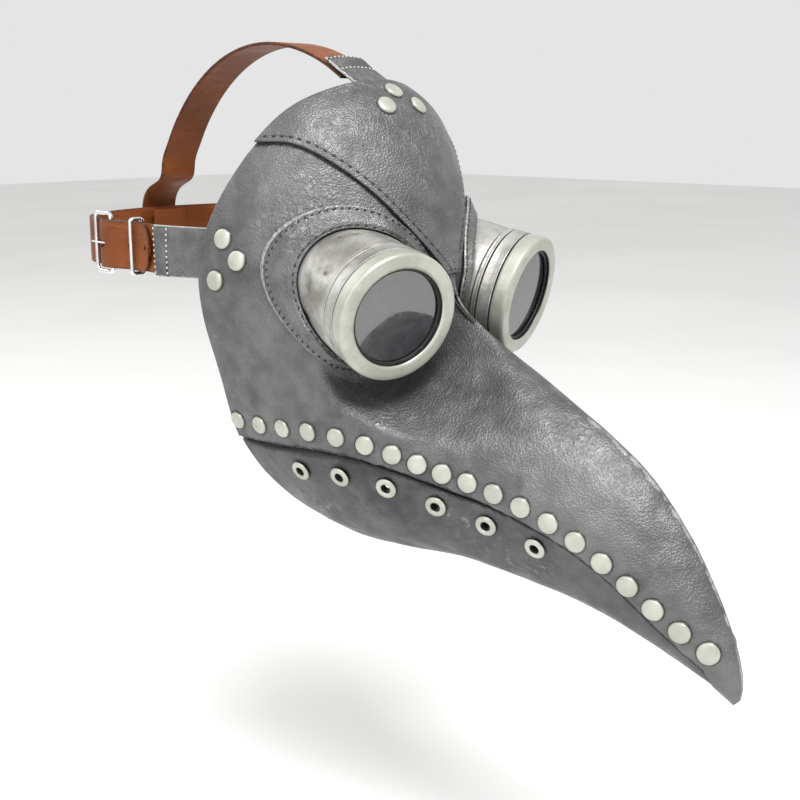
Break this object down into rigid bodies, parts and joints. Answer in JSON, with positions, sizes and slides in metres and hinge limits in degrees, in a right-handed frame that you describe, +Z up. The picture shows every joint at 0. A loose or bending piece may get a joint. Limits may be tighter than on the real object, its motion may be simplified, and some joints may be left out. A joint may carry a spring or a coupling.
{
  "type": "plague doctor mask",
  "caption": "Beaked leather plague doctor mask with tube eyepieces, riveted strap tabs, eyelets along the jaw and a buckled head harness.",
  "frame": {"origin": "centre of the wearer's head inside the mask, at the head_fit mount", "axes": "+Z up over the crown, -Y forwards along the beak, -X to the wearer's right; X = 0 is the mirror plane"},
  "size_m": [0.1722, 0.4011, 0.2889],
  "materials": {
    "grey_leather": "worn satin",
    "brown_leather": "satin",
    "aged_pewter": "aged pewter",
    "cream_silver": "satin silver",
    "smoked_glass": "gloss",
    "black_rubber": "matte",
    "bright_steel": "polished"
  },
  "bodies": {
    "mask": {"face_panel": "grey_leather", "jaw_panel": "grey_leather", "brow_panel": "grey_leather", "eye_patch_right": "grey_leather", "eye_patch_left": "grey_leather", "strap_tab_right": "grey_leather", "strap_tab_left": "grey_leather", "strap_tab_top": "grey_leather", "side_strap_right": "brown_leather", "side_strap_left": "brown_leather", "rear_strap": "brown_leather", "top_strap": "brown_leather", "eye_barrel_right": "aged_pewter", "eye_barrel_left": "aged_pewter", "eye_collar_right": "aged_pewter", "eye_collar_left": "aged_pewter", "eye_band_right": "aged_pewter", "eye_band_left": "aged_pewter", "eye_bezel_right": "cream_silver", "eye_bezel_left": "cream_silver", "lens_right": "smoked_glass", "lens_left": "smoked_glass", "lens_gasket_right": "black_rubber", "lens_gasket_left": "black_rubber", "tab_rivet_right_1": "cream_silver", "tab_rivet_right_2": "cream_silver", "tab_rivet_right_3": "cream_silver", "tab_rivet_left_1": "cream_silver", "tab_rivet_left_2": "cream_silver", "tab_rivet_left_3": "cream_silver", "tab_rivet_top_1": "cream_silver", "tab_rivet_top_2": "cream_silver", "tab_rivet_top_3": "cream_silver", "jaw_eyelet_right_1": "cream_silver", "jaw_eyelet_right_2": "cream_silver", "jaw_eyelet_right_3": "cream_silver", "jaw_eyelet_right_4": "cream_silver", "jaw_eyelet_right_5": "cream_silver", "jaw_eyelet_right_6": "cream_silver", "jaw_eyelet_left_1": "cream_silver", "jaw_eyelet_left_2": "cream_silver", "jaw_eyelet_left_3": "cream_silver", "jaw_eyelet_left_4": "cream_silver", "jaw_eyelet_left_5": "cream_silver", "jaw_eyelet_left_6": "cream_silver"},
    "frame_right": {"buckle_frame_right": "bright_steel"},
    "frame_left": {"buckle_frame_left": "bright_steel"},
    "prong_right": {"buckle_prong_right": "bright_steel"},
    "prong_left": {"buckle_prong_left": "bright_steel"},
    "keeper_right": {"strap_keeper_right": "bright_steel"},
    "keeper_left": {"strap_keeper_left": "bright_steel"}
  },
  "joints": [
    {"name": "buckle_right_lift", "type": "hinge", "parent": "mask", "child": "frame_right", "pos_m": [-0.07915, 0.04911, 0.023], "axis": [0, 0, 1], "range_deg": [0, 25]},
    {"name": "prong_right_lift", "type": "hinge", "parent": "frame_right", "child": "prong_right", "pos_m": [-0.07915, 0.04911, 0.023], "axis": [0, 0, 1], "range_deg": [0, 30]},
    {"name": "keeper_right_slide", "type": "slide", "parent": "mask", "child": "keeper_right", "axis": [0.1029, 0.9947, 0], "range_m": [-0.005, 0.005]},
    {"name": "buckle_left_lift", "type": "hinge", "parent": "mask", "child": "frame_left", "pos_m": [0.07915, 0.04911, 0.023], "axis": [0, 0, -1], "range_deg": [0, 25]},
    {"name": "prong_left_lift", "type": "hinge", "parent": "frame_left", "child": "prong_left", "pos_m": [0.07915, 0.04911, 0.023], "axis": [0, 0, -1], "range_deg": [0, 30]},
    {"name": "keeper_left_slide", "type": "slide", "parent": "mask", "child": "keeper_left", "axis": [-0.1029, 0.9947, 0], "range_m": [-0.005, 0.005]}
  ]
}
